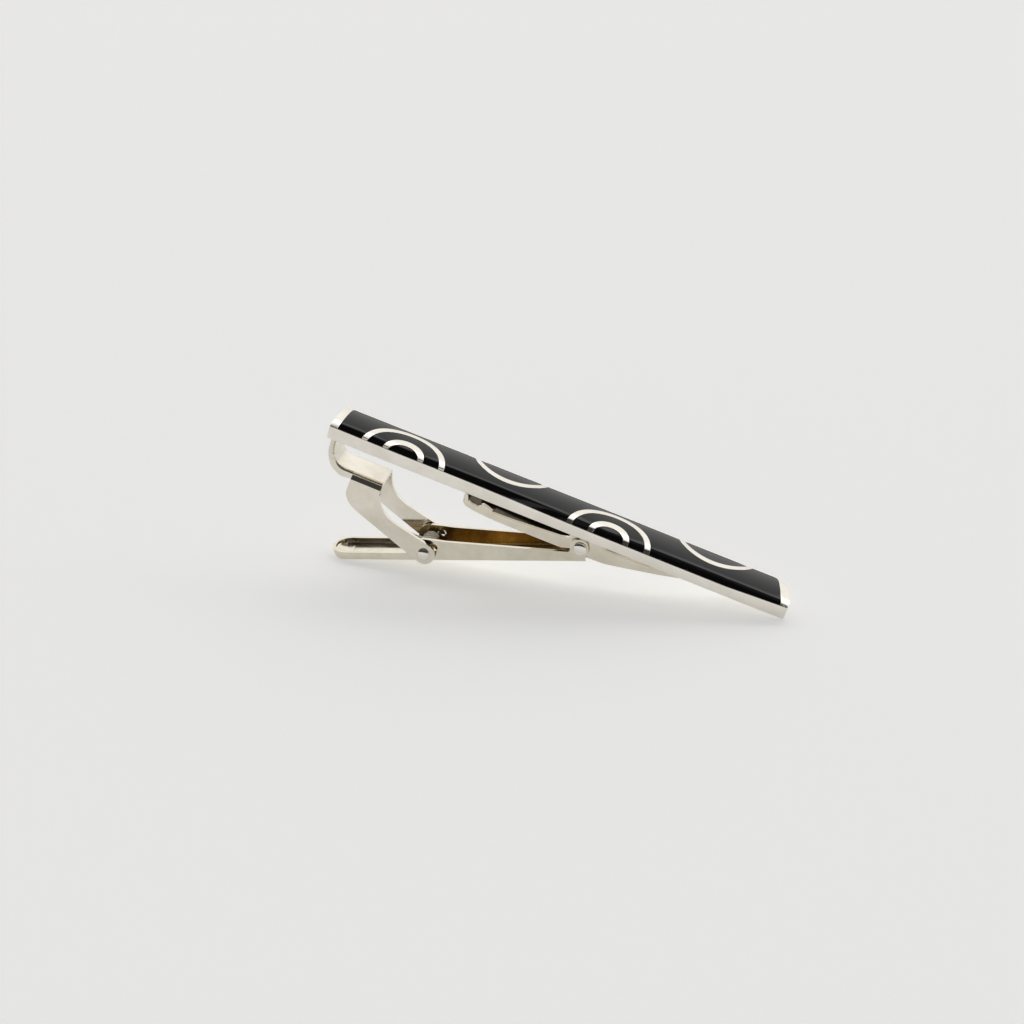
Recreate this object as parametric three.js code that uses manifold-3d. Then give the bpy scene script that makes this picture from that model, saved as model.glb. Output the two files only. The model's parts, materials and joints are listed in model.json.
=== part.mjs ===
// Tie clip with an enamelled bar, a hinged lever arm and a sprung jaw. Millimetres, +Z up.
// It lies as it rests on a table: on the nose of the arm and on the bar's right-hand end.
import * as THREE from "three";
import { mergeVertices } from "three/addons/utils/BufferGeometryUtils.js";
import Module from "manifold-3d";

const wasm = await Module();
wasm.setup();

// ---- driving dimensions ----
// Bar frame: X along the bar from its left end, Y across it, Z = 0 on its back, +Z to the enamel.
const BAR_LENGTH = 60;
const BAR_WIDTH = 5.8;
const BAR_SIDE = 1.73;
const CROWN_RISE = 0.36;
const BAR_EDGE = 0.14;
const LEFT_LEAN = 0.3;
const RIGHT_SWEEP = 2.4;
const END_CAP = 1.05;
const RIM = 0.14;
const POCKET_FLOOR = 1.32;
const ENAMEL_SUNK = 0.04;
const ENAMEL_CORNER = 0.42;
const ENAMEL_END = 58.95;
const ENAMEL_SLANT = 1.2;

// Raised lines of the fan pattern: alternate arcs rise from the near edge and the far edge. Each
// line lies between two arcs, given by half-width at the bar's edge and height above that edge.
const FAN_START = 9.4;
const FAR_START = 22.3;
const FAN_STEP = 27.1;
const OUTER_LINE = [[5.45, 5.15], [4.72, 4.3]];
const INNER_LINE = [[2.64, 2.8], [1.97, 1.72]];
const FAR_LINE = [[4.9, 3.35], [4.2, 2.46]];

const SHEET = 0.4;
const SIDE_GAP = 0.1;
const JAW_GAP = 0.2;

// Arm: a U channel open towards the bar. Arm frame: origin on the main pin, X towards the heel.
const ARM_ANGLE = 24.35;
const PIN_X = 33.76;
const PIN_Z = -1.78;
const ARM_HALF = 2.16;
const ARM_BOTTOM = -1.9;
const ARM_NOSE = -32.9;
const ARM_HEEL = 0.42;
const PAD_RIM = -0.8;
const WEB_END = -1.75;

// Jaw pin, in the arm frame.
const JAW_PIN_X = -20.14;
const JAW_PIN_Z = -0.57;

// Bracket: a narrower U channel under the bar, inside the arm's ears.
const BRACKET_HALF = ARM_HALF - SHEET - SIDE_GAP;
const SOLDER = 0.1;
const FOOT_START = 47.2;
const FOOT_END = 51;

// Jaw: stamped, its two legs straddle the arm.
const JAW_SHEET = 0.44;
const JAW_HALF = ARM_HALF + JAW_GAP + JAW_SHEET;
const JAW_BEND = 1.2;
const STRIP_HALF = 1.95;
const TIP_GAP = 0.03;
const LOBE = 1.42;

const MAIN_PIN_R = 0.5;
const MAIN_DOME_R = 0.89;
const JAW_PIN_R = 0.42;
const JAW_DOME_R = 0.79;
const DOME_HEIGHT = 0.52;
const HOLE_GAP = 0.03;

const WIRE_R = 0.19;
const COIL_R = 0.85;
const COIL_RISE = 0.2;
const COIL_TURNS = 5;
const COIL_STEPS = 18;
const COIL_HALF = 1.15;

const SEG = 9;
const CROWN_SEG = 14;
const rad = THREE.MathUtils.degToRad;

// ---- solids ----
function solid(geometry) {
  const g = geometry.clone();
  g.deleteAttribute("normal");
  g.deleteAttribute("uv");
  const m = mergeVertices(g, 1e-5);
  return new wasm.Manifold(
    new wasm.Mesh({
      numProp: 3,
      vertProperties: new Float32Array(m.attributes.position.array),
      triVerts: new Uint32Array(m.index.array),
    }),
  );
}

function geometryOf(s) {
  const m = s.getMesh();
  const g = new THREE.BufferGeometry();
  const v = new Float32Array(m.numVert * 3);
  for (let i = 0; i < m.numVert; i++) {
    v.set(m.vertProperties.subarray(i * m.numProp, i * m.numProp + 3), i * 3);
  }
  g.setAttribute("position", new THREE.BufferAttribute(v, 3));
  g.setIndex(new THREE.BufferAttribute(new Uint32Array(m.triVerts), 1));
  const flat = g.toNonIndexed();
  flat.computeVertexNormals();
  return flat;
}

function shapeOf(points) {
  return new THREE.Shape(points.map(([x, y]) => new THREE.Vector2(x, y)));
}

// A plan outline in X and Y, raised from z0 to z1.
function planPrism(shape, z0, z1) {
  const g = new THREE.ExtrudeGeometry(shape, { depth: z1 - z0, bevelEnabled: false, curveSegments: SEG });
  g.translate(0, 0, z0);
  return solid(g);
}

// A side outline in X and Z, spread across Y from y0 to y1.
function sidePrism(shape, y0, y1) {
  const g = new THREE.ExtrudeGeometry(shape, { depth: y1 - y0, bevelEnabled: false, curveSegments: SEG });
  g.rotateX(Math.PI / 2);
  g.translate(0, y1, 0);
  return solid(g);
}

// A cross-section in Y and Z, run along X from x0 to x1.
function runPrism(shape, x0, x1) {
  const g = new THREE.ExtrudeGeometry(shape, { depth: x1 - x0, bevelEnabled: false, curveSegments: SEG });
  g.rotateX(Math.PI / 2);
  g.rotateZ(Math.PI / 2);
  g.translate(x0, 0, 0);
  return solid(g);
}

// A round bar or hole along Y.
function crossPin(x, z, r, half) {
  const g = new THREE.CylinderGeometry(r, r, 2 * half, 28);
  g.translate(x, 0, z);
  return solid(g);
}

function box(x0, x1, y0, y1, z0, z1) {
  const g = new THREE.BoxGeometry(x1 - x0, y1 - y0, z1 - z0);
  g.translate((x0 + x1) / 2, (y0 + y1) / 2, (z0 + z1) / 2);
  return solid(g);
}

function union(list) {
  return list.reduce((a, b) => a.add(b));
}

// Rectangle with its own radius at each corner: lower left, lower right, upper right, upper left.
function roundRect(x0, y0, x1, y1, [a, b, c, d]) {
  const s = new THREE.Shape();
  s.moveTo(x0 + a, y0);
  s.lineTo(x1 - b, y0);
  s.absarc(x1 - b, y0 + b, b, -Math.PI / 2, 0);
  s.lineTo(x1, y1 - c);
  s.absarc(x1 - c, y1 - c, c, 0, Math.PI / 2);
  s.lineTo(x0 + d, y1);
  s.absarc(x0 + d, y1 - d, d, Math.PI / 2, Math.PI);
  s.lineTo(x0, y0 + a);
  s.absarc(x0 + a, y0 + a, a, Math.PI, 1.5 * Math.PI);
  return s;
}

// A disc whose rim crosses the bar's edge at x - w and x + w and reaches h across the bar from it.
// side is -1 for the near edge and 1 for the far edge.
function arch(x, side, [w, h]) {
  const r = (w * w + h * h) / (2 * h);
  const s = new THREE.Shape();
  s.absarc(x, side * (BAR_WIDTH / 2 - h + r), r, 0, 2 * Math.PI);
  return planPrism(s, POCKET_FLOOR, 3);
}

// Outline of a curved sheet from its outer line and inner line, both listed from the same end.
function ribbon(outer, inner) {
  const s = shapeOf(outer.slice(0, 1));
  s.splineThru(outer.slice(1).map(([x, z]) => new THREE.Vector2(x, z)));
  const back = [...inner].reverse();
  s.lineTo(back[0][0], back[0][1]);
  s.splineThru(back.slice(1).map(([x, z]) => new THREE.Vector2(x, z)));
  return s;
}

// ---- bar and enamel ----
// Cross-section of the bar: square sides, softened lower edges, crowned top.
function crownSection(drop) {
  const half = BAR_WIDTH / 2;
  const radius = (half * half + CROWN_RISE * CROWN_RISE) / (2 * CROWN_RISE);
  const reach = Math.asin(half / radius);
  const points = [
    [-half + BAR_EDGE, 0],
    [half - BAR_EDGE, 0],
    [half, BAR_EDGE],
  ];
  for (let i = 0; i <= CROWN_SEG; i++) {
    const a = reach - (2 * reach * i) / CROWN_SEG;
    const y = i === 0 ? half : i === CROWN_SEG ? -half : radius * Math.sin(a);
    points.push([y, BAR_SIDE + CROWN_RISE - radius + radius * Math.cos(a) - drop]);
  }
  points.push([-half, BAR_EDGE]);
  return shapeOf(points);
}

// Plan of the bar: the left end leans a little, the right end sweeps back to the far edge.
function barPlan() {
  const half = BAR_WIDTH / 2;
  const end = BAR_LENGTH;
  const s = new THREE.Shape();
  s.moveTo(0.3 - LEFT_LEAN, -half);
  s.lineTo(end - 0.35, -half);
  s.quadraticCurveTo(end, -half, end, -half + 0.4);
  s.quadraticCurveTo(end, 1, end - RIGHT_SWEEP, half);
  s.lineTo(0.45, half);
  s.quadraticCurveTo(0, half, 0, half - 0.45);
  s.lineTo(-LEFT_LEAN, -half + 0.3);
  s.quadraticCurveTo(-LEFT_LEAN, -half, 0.3 - LEFT_LEAN, -half);
  return s;
}

function barBlank() {
  const reach = BAR_WIDTH;
  const left = -LEFT_LEAN;
  const side = roundRect(left, 0, BAR_LENGTH, 4, [0.3, 0.3, 0.3, 0.3]);
  return runPrism(crownSection(0), left - 1, BAR_LENGTH + 1)
    .intersect(planPrism(barPlan(), -1, 5))
    .intersect(sidePrism(side, -reach, reach));
}

// Plan of all the enamel together; its right-hand end slants back towards the far edge.
function enamelPlan() {
  const near = -BAR_WIDTH / 2 + RIM;
  const far = BAR_WIDTH / 2 - RIM;
  const s = new THREE.Shape();
  s.moveTo(END_CAP - LEFT_LEAN, near);
  s.lineTo(ENAMEL_END - ENAMEL_CORNER, near);
  s.quadraticCurveTo(ENAMEL_END, near, ENAMEL_END, near + ENAMEL_CORNER);
  s.lineTo(ENAMEL_END - ENAMEL_SLANT, far - 0.7);
  s.quadraticCurveTo(ENAMEL_END - ENAMEL_SLANT - 0.15, far, ENAMEL_END - ENAMEL_SLANT - 0.9, far);
  s.lineTo(END_CAP + 0.3, far);
  s.quadraticCurveTo(END_CAP, far, END_CAP, far - 0.3);
  return s;
}

// The pockets for the enamel: field, ring cells, half discs and far cells.
function enamelCells() {
  const all = planPrism(enamelPlan(), POCKET_FLOOR, 3);
  const cells = {};
  let field = all;
  for (let i = 0; i < 2; i++) {
    const nx = FAN_START + i * FAN_STEP;
    const fx = FAR_START + i * FAN_STEP;
    field = field.subtract(arch(nx, -1, OUTER_LINE[0])).subtract(arch(fx, 1, FAR_LINE[0]));
    const ring = arch(nx, -1, OUTER_LINE[1]).subtract(arch(nx, -1, INNER_LINE[0]));
    cells["enamel_fan_ring_" + (i + 1)] = ring.intersect(all);
    cells["enamel_fan_heart_" + (i + 1)] = arch(nx, -1, INNER_LINE[1]).intersect(all);
    cells["enamel_far_cell_" + (i + 1)] = arch(fx, 1, FAR_LINE[1]).intersect(all);
  }
  cells.enamel_field = field;
  return cells;
}

// ---- arm ----
// Side outline of the arm's walls in the arm frame.
function armSide() {
  const s = new THREE.Shape();
  s.moveTo(ARM_HEEL, ARM_BOTTOM);
  s.lineTo(ARM_HEEL + 0.03, -1.2);
  s.quadraticCurveTo(1.0, -0.9, 1.0, -0.1);
  s.quadraticCurveTo(1.0, 1.2, 0, 1.2);
  s.quadraticCurveTo(-1.3, 1.2, -1.3, 0.3);
  s.lineTo(-1.3, -0.25);
  s.quadraticCurveTo(-1.35, -0.47, -1.7, -0.46);
  s.lineTo(-17.3, 0.78);
  s.quadraticCurveTo(-18.6, 1.0, JAW_PIN_X, 1.15);
  s.quadraticCurveTo(-21.6, 1.2, -21.9, 0.2);
  s.quadraticCurveTo(-22.05, PAD_RIM, -23, PAD_RIM);
  s.lineTo(-29.5, PAD_RIM);
  s.quadraticCurveTo(-31.5, -0.78, ARM_NOSE, -0.62);
  s.quadraticCurveTo(ARM_NOSE + 0.1, -1.85, ARM_NOSE + 2.7, ARM_BOTTOM);
  return s;
}

function armPlan(half, nose, right) {
  const s = new THREE.Shape();
  s.moveTo(right, -half);
  s.lineTo(right, half);
  s.lineTo(nose + half, half);
  s.absarc(nose + half, 0, half, Math.PI / 2, 1.5 * Math.PI);
  return s;
}

function armSolid() {
  const shell = sidePrism(armSide(), -ARM_HALF, ARM_HALF);
  const bend = 0.35;
  const channel = roundRect(-ARM_HALF, ARM_BOTTOM, ARM_HALF, 4, [bend, bend, 0.01, 0.01]);
  const outer = shell
    .intersect(planPrism(armPlan(ARM_HALF, ARM_NOSE, 3), -5, 5))
    .intersect(runPrism(channel, -40, 3));
  const inside = ARM_HALF - SHEET;
  const hollow = planPrism(armPlan(inside, ARM_NOSE + SHEET, 3), ARM_BOTTOM + SHEET, 5);
  const webGap = box(WEB_END, 3, -inside, inside, -5, 1.9);
  // The window in each wall beside the jaw pin, where the coil shows.
  const window = new THREE.Shape();
  window.moveTo(-19.55, 0.1);
  window.quadraticCurveTo(-18.9, 0.75, -18.5, 0.3);
  window.quadraticCurveTo(-18.2, -0.2, -18.75, -0.45);
  return outer
    .subtract(hollow)
    .subtract(webGap)
    .subtract(sidePrism(window, -3, 3))
    .subtract(crossPin(0, 0, MAIN_PIN_R + HOLE_GAP, 4))
    .subtract(crossPin(JAW_PIN_X, JAW_PIN_Z, JAW_PIN_R + HOLE_GAP, 4));
}

// ---- bracket ----
// Underside of the bracket, left to right, in the bar frame.
const BRACKET_UNDER = [
  [18.02, -1.5],
  [18.12, -2.1],
  [18.6, -2.42],
  [19.8, -2.71],
  [21.8, -2.87],
  [24.5, -2.95],
  [36.2, -2.9],
  [38.4, -2.6],
  [41.9, -1.85],
  [44.4, -1.28],
  [46.2, -0.8],
  [FOOT_START, -SOLDER - SHEET],
  [FOOT_END, -SOLDER - SHEET],
];

// Top edges of its walls, right to left, with the gripping tooth near the tip.
const BRACKET_TOP = [
  [FOOT_END, -SOLDER],
  [FOOT_START - 1, -SOLDER],
  [43.5, -0.62],
  [41, -0.95],
  [37, -1.08],
  [36.3, -0.95],
  [35.7, -0.4],
  [35.2, -0.06],
  [32.9, -0.06],
  [32.4, -0.5],
  [31.9, -1.2],
  [30.9, -1.5],
  [25, -1.92],
  [22.1, -2.0],
  [22.0, -1.78],
  [21.3, -1.48],
  [20.7, -1.34],
  [20.25, -1.6],
  [20.05, -2.02],
  [19.2, -1.92],
  [18.75, -1.7],
  [18.5, -0.85],
  [18.0, -0.75],
];

function bracketSolid() {
  const half = BRACKET_HALF;
  const side = sidePrism(shapeOf([...BRACKET_UNDER, ...BRACKET_TOP]), -half, half);
  const channel = roundRect(-half, -3.2, half, 1, [0.3, 0.3, 0.01, 0.01]);
  const plan = roundRect(18, -half, FOOT_END - 0.01, half, [0.6, 0.2, 0.2, 0.6]);
  const outer = side.intersect(planPrism(plan, -5, 2)).intersect(runPrism(channel, 10, 60));
  const floor = BRACKET_UNDER.slice(1, 11).map(([x, z]) => [x + 0.12, z + SHEET]);
  floor[0][1] = -1.4;
  const hollowSide = shapeOf([...floor, [46.4, 1], [18.2, 1]]);
  const inside = half - SHEET;
  const hollow = sidePrism(hollowSide, -inside, inside)
    .intersect(planPrism(roundRect(18 + SHEET, -inside, 50, inside, [0.3, 0.1, 0.1, 0.3]), -5, 2));
  return outer
    .subtract(hollow)
    .subtract(crossPin(PIN_X, PIN_Z, MAIN_PIN_R + HOLE_GAP, 4));
}

function solderSolid() {
  const half = BRACKET_HALF + 0.12;
  const r = 0.25;
  return planPrism(roundRect(FOOT_START - 1, -half, FOOT_END + 0.2, half, [r, r, r, r]), -SOLDER, 0);
}

// ---- jaw ----
// Outlines in the bar frame as the jaw rests; the jaw pin is the hinge.
const JAW_PIN = new THREE.Vector2(JAW_PIN_X, JAW_PIN_Z)
  .rotateAround(new THREE.Vector2(0, 0), rad(ARM_ANGLE))
  .add(new THREE.Vector2(PIN_X, PIN_Z));

function legSide() {
  const s = new THREE.Shape();
  const end = rad(-71.6);
  const start = rad(76.8);
  s.moveTo(4.15, -3.78);
  s.lineTo(4.02, -6.2);
  s.splineThru([
    new THREE.Vector2(4.2, -6.85),
    new THREE.Vector2(4.6, -7.45),
    new THREE.Vector2(5.27, -8.02),
    new THREE.Vector2(6.26, -8.5),
    new THREE.Vector2(7.45, -8.99),
  ]);
  s.lineTo(JAW_PIN.x - LOBE * Math.cos(end), JAW_PIN.y + LOBE * Math.sin(end));
  s.absarc(JAW_PIN.x, JAW_PIN.y, LOBE, Math.PI - end, 2 * Math.PI + start, false);
  s.lineTo(11.2, -8.12);
  s.splineThru([
    new THREE.Vector2(10.39, -7.82),
    new THREE.Vector2(9.61, -7.37),
    new THREE.Vector2(8.87, -6.65),
    new THREE.Vector2(8.5, -6.0),
    new THREE.Vector2(8.2, -5.1),
    new THREE.Vector2(8.1, -4.02),
  ]);
  return s;
}

function stripSolid() {
  const outer = [
    [0.3, -0.6],
    [0.3, -1.9],
    [0.62, -3.05],
    [1.3, -4.08],
    [2.08, -4.62],
    [2.95, -4.9],
    [4.6, -4.6],
  ];
  const inner = [
    [0.92, -0.6],
    [0.95, -1.6],
    [1.32, -2.7],
    [1.88, -3.42],
    [2.6, -3.74],
    [3.4, -3.76],
    [4.6, -3.8],
  ];
  const strip = sidePrism(ribbon(outer, inner), -STRIP_HALF, STRIP_HALF);
  const tip = shapeOf([
    [0.3, -0.61],
    [0.92, -0.61],
    [0.86, -TIP_GAP - 0.12],
    [0.62, -TIP_GAP],
    [0.36, -TIP_GAP - 0.1],
  ]);
  return strip.add(sidePrism(tip, -STRIP_HALF, STRIP_HALF));
}

function jawSolid() {
  const web = -3.78;
  const section = roundRect(-JAW_HALF, -20, JAW_HALF, web, [0.01, 0.01, JAW_BEND, JAW_BEND]);
  const inside = JAW_HALF - JAW_SHEET;
  const r = JAW_BEND - JAW_SHEET;
  const inner = roundRect(-inside, -20, inside, web - JAW_SHEET, [0.01, 0.01, r, r]);
  const legs = sidePrism(legSide(), -JAW_HALF, JAW_HALF)
    .intersect(runPrism(section, 0, 25))
    .subtract(runPrism(inner, 0, 25));
  return legs
    .add(stripSolid())
    .subtract(crossPin(JAW_PIN.x, JAW_PIN.y, JAW_PIN_R + HOLE_GAP, 4));
}

// ---- rivets and spring ----
// Pin along Y with a low dome on each end.
function rivet(pinR, domeR, seat) {
  const points = [new THREE.Vector2(0, -seat - DOME_HEIGHT)];
  const steps = 8;
  for (let i = 1; i <= steps; i++) {
    const a = (i / steps) * (Math.PI / 2);
    points.push(new THREE.Vector2(domeR * Math.sin(a), -seat - DOME_HEIGHT * Math.cos(a)));
  }
  points.push(new THREE.Vector2(pinR, -seat));
  points.push(new THREE.Vector2(pinR, seat));
  for (let i = steps; i >= 1; i--) {
    const a = (i / steps) * (Math.PI / 2);
    points.push(new THREE.Vector2(domeR * Math.sin(a), seat + DOME_HEIGHT * Math.cos(a)));
  }
  points.push(new THREE.Vector2(0, seat + DOME_HEIGHT));
  return new THREE.LatheGeometry(points, 32);
}

// Jaw-side leg of the spring in the bar frame, up behind the near leg of the jaw to its web.
const SPRING_LEG = [
  [12, -9.45],
  [9.3, -8.7],
  [7.6, -7.4],
  [6.8, -5.95],
  [6.5, -4.65],
];

// Torsion spring round the jaw pin, in the arm frame with its origin on that pin. One leg bears
// on the pad's floor; the other runs up to the jaw and bears under its web.
function springGeometry() {
  const points = [];
  const add = (x, y, z) => points.push(new THREE.Vector3(x, y, z));
  const floor = COIL_RISE - COIL_R;
  add(-3.6, COIL_HALF, floor - 0.07);
  add(-2.6, COIL_HALF, floor - 0.06);
  add(-1.6, COIL_HALF, floor - 0.04);
  add(-0.8, COIL_HALF, floor - 0.01);
  const leave = rad(66);
  const sweep = 2 * Math.PI * COIL_TURNS + Math.PI / 2 + leave;
  const steps = Math.round((sweep / (2 * Math.PI)) * COIL_STEPS);
  for (let i = 0; i <= steps; i++) {
    const a = -Math.PI / 2 + (sweep * i) / steps;
    const y = COIL_HALF - (2 * COIL_HALF * i) / steps;
    add(COIL_R * Math.cos(a), y, COIL_RISE + COIL_R * Math.sin(a));
  }
  for (const [x, z] of SPRING_LEG) {
    const p = new THREE.Vector2(x, z).sub(JAW_PIN).rotateAround(new THREE.Vector2(0, 0), -rad(ARM_ANGLE));
    add(p.x, -COIL_HALF, p.y);
  }
  const wire = new THREE.Shape();
  wire.absarc(0, 0, WIRE_R, 0, 2 * Math.PI);
  const path = new THREE.CatmullRomCurve3(points, false, "centripetal");
  return new THREE.ExtrudeGeometry(wire, {
    steps: points.length + 30,
    curveSegments: 4,
    extrudePath: path,
  });
}

// ---- assembly ----
const NICKEL = { color: 0xd8d2c8, roughness: 0.14, metalness: 1 };
const NICKEL_SATIN = { color: 0xcfc8bc, roughness: 0.22, metalness: 1 };
const BRASSY = { color: 0xc2ae86, roughness: 0.24, metalness: 1 };
const STEEL = { color: 0xc9c4ba, roughness: 0.18, metalness: 1 };
const SOLDER_GREY = { color: 0xb9b5ad, roughness: 0.38, metalness: 1 };
const ENAMEL = { color: 0x0b0b0c, roughness: 0.08, metalness: 0 };
const ENAMEL_SMOKE = { color: 0x151315, roughness: 0.16, metalness: 0 };

function piece(name, geometry, look) {
  const mesh = new THREE.Mesh(geometry, new THREE.MeshStandardMaterial(look));
  mesh.name = name;
  return mesh;
}

function buildBar() {
  const group = new THREE.Group();
  const blank = barBlank();
  const sunk = runPrism(crownSection(ENAMEL_SUNK), -1, BAR_LENGTH);
  const cells = enamelCells();
  const metal = blank.subtract(union(Object.values(cells)));
  group.add(piece("bar", geometryOf(metal), NICKEL));
  for (const [name, cell] of Object.entries(cells)) {
    const look = name.startsWith("enamel_far") ? ENAMEL_SMOKE : ENAMEL;
    group.add(piece(name, geometryOf(cell.intersect(sunk)), look));
  }
  group.add(piece("bracket", geometryOf(bracketSolid()), NICKEL_SATIN));
  group.add(piece("bracket_solder", geometryOf(solderSolid()), SOLDER_GREY));
  const seat = ARM_HALF + 0.02;
  const pin = piece("main_rivet", rivet(MAIN_PIN_R, MAIN_DOME_R, seat), NICKEL);
  pin.position.set(PIN_X, 0, PIN_Z);
  group.add(pin);
  return group;
}

function buildArm() {
  const group = new THREE.Group();
  group.position.set(PIN_X, 0, PIN_Z);
  group.rotation.y = -rad(ARM_ANGLE);
  group.add(piece("arm", geometryOf(armSolid()), BRASSY));
  const seat = JAW_HALF + 0.02;
  const pin = piece("jaw_rivet", rivet(JAW_PIN_R, JAW_DOME_R, seat), NICKEL);
  pin.position.set(JAW_PIN_X, 0, JAW_PIN_Z);
  group.add(pin);
  const spring = piece("jaw_spring", springGeometry(), STEEL);
  spring.position.set(JAW_PIN_X, 0, JAW_PIN_Z);
  group.add(spring);
  return group;
}

function buildJaw() {
  const group = new THREE.Group();
  group.add(piece("jaw", geometryOf(jawSolid()), NICKEL));
  return group;
}

// Lowest point of a piece in the bar frame, once the bar is tilted by t.
function lowest(mesh, t) {
  mesh.updateWorldMatrix(true, false);
  const position = mesh.geometry.getAttribute("position");
  const p = new THREE.Vector3();
  let best = null;
  let height = Infinity;
  for (let i = 0; i < position.count; i++) {
    p.fromBufferAttribute(position, i).applyMatrix4(mesh.matrixWorld);
    const h = p.z * Math.cos(t) - p.x * Math.sin(t);
    if (h < height) {
      height = h;
      best = p.clone();
    }
  }
  return best;
}

// Tilt at which the arm's nose and the bar's right end touch the table together.
function restTilt(group) {
  let t = rad(16);
  for (let i = 0; i < 12; i++) {
    const a = lowest(group.getObjectByName("arm"), t);
    const b = lowest(group.getObjectByName("bar"), t);
    t = Math.atan2(b.z - a.z, b.x - a.x);
  }
  return t;
}

const clip = new THREE.Group();
clip.name = "clip";
clip.add(buildBar());
clip.add(buildArm());
clip.add(buildJaw());
clip.rotation.y = restTilt(clip);

const root = new THREE.Group();
root.name = "tie_clip";
root.add(clip);
root.updateMatrixWorld(true);
const bounds = new THREE.Box3().setFromObject(root, true);
clip.position.set(
  -(bounds.min.x + bounds.max.x) / 2,
  -(bounds.min.y + bounds.max.y) / 2,
  -bounds.min.z,
);

export default root;
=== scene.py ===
import json
import math
import random

import bmesh
import bpy
from mathutils import Matrix, Vector
from mathutils.geometry import tessellate_polygon


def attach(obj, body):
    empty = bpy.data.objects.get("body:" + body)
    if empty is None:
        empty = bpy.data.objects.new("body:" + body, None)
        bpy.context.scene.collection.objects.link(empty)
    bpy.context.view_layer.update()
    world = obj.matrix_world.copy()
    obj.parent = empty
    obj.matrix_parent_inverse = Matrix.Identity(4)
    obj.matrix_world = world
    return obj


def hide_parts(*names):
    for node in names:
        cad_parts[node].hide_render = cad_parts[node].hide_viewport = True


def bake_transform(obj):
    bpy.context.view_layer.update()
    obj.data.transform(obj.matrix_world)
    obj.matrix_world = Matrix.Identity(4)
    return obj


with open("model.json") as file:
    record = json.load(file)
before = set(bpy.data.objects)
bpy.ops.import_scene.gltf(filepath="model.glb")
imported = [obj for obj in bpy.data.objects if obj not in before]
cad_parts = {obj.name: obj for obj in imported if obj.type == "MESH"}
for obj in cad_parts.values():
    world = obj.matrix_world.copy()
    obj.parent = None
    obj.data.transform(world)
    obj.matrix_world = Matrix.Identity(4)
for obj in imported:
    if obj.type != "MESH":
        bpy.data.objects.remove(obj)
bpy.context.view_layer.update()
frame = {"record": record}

MM = 0.001

# ---------------------------------------------------------------- sizes, in millimetres
# Bar frame: X along the bar from its left end, Y from its near edge (-) to its far one (+),
# Z up from its back.
BAR_LENGTH, BAR_WIDTH, BAR_SIDE, CROWN_RISE = 60.0, 5.8, 1.73, 0.36
HALF = BAR_WIDTH / 2
LEFT_LEAN, RIGHT_SWEEP = 0.3, 2.4
# Metal left round the enamel: at the left end, along the far edge, along the near edge.
END_CAP, RIM, NEAR_RIM = 1.05, 0.15, 0.06
ENAMEL_END, ENAMEL_SLANT = 58.95, 1.2
FAN_START, FAR_START, FAN_STEP = 9.4, 22.3, 27.1
# Each raised line lies between two arcs: half-width at the bar's edge, height above that edge.
OUTER_LINE = ((5.45, 5.15), (4.72, 4.3))
INNER_LINE = ((2.64, 2.8), (1.97, 1.72))
FAR_LINE = ((4.9, 3.35), (4.2, 2.46))
# The arm hangs on PIN; its own frame is turned by ARM_ANGLE, and the jaw's pin is given in it.
PIN = (33.76, -1.78)
ARM_ANGLE = math.radians(24.35)
JAW_PIN_ARM = (-20.14, -0.57)
ARM_HALF, SHEET, SIDE_GAP, JAW_GAP = 2.16, 0.4, 0.1, 0.2
ARM_BACK, ARM_FLOOR, ARM_NOSE, PAD_START = -1.9, -1.5, -32.9, -21
JAW_SHEET = 0.44
JAW_HALF = ARM_HALF + JAW_GAP + JAW_SHEET
BRACKET_HALF = ARM_HALF - SHEET - SIDE_GAP
MAIN_PIN_R, MAIN_BORE_R, MAIN_DOME_R = 0.5, 0.53, 0.89
JAW_PIN_R, JAW_BORE_R, JAW_DOME_R = 0.42, 0.45, 0.79
DOME_HEIGHT, HEAD_GAP = 0.52, 0.02
SHARP = 0.01  # the radius of a corner that stays sharp


def turn(x, z, a):
    return x * math.cos(a) - z * math.sin(a), x * math.sin(a) + z * math.cos(a)


_jx, _jz = turn(*JAW_PIN_ARM, ARM_ANGLE)
JAW_PIN = (_jx + PIN[0], _jz + PIN[1])

# The bar's frame in the row frame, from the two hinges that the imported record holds.
hinges = {j["name"]: j for j in frame["record"]["behaviour"]["joints"]}
B_AT = [v / MM for v in hinges["arm_hinge"]["pos_m"]]
J_AT = [v / MM for v in hinges["jaw_hinge"]["pos_m"]]
TILT = math.atan2(PIN[1] - JAW_PIN[1], PIN[0] - JAW_PIN[0]) - math.atan2(
    B_AT[2] - J_AT[2], B_AT[0] - J_AT[0]
)
_bx, _bz = turn(*PIN, -TILT)
BAR_TO_ROW = (
    Matrix.Scale(MM, 4)
    @ Matrix.Translation((B_AT[0] - _bx, 0, B_AT[2] - _bz))
    @ Matrix.Rotation(TILT, 4, "Y")
)
ARM_TO_BAR = Matrix.Translation((PIN[0], 0, PIN[1])) @ Matrix.Rotation(-ARM_ANGLE, 4, "Y")


# ---------------------------------------------------------------- mesh helpers
def new_object(name, bm):
    mesh = bpy.data.meshes.new(name)
    bm.to_mesh(mesh)
    bm.free()
    obj = bpy.data.objects.new(name, mesh)
    bpy.context.scene.collection.objects.link(obj)
    return obj


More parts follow.
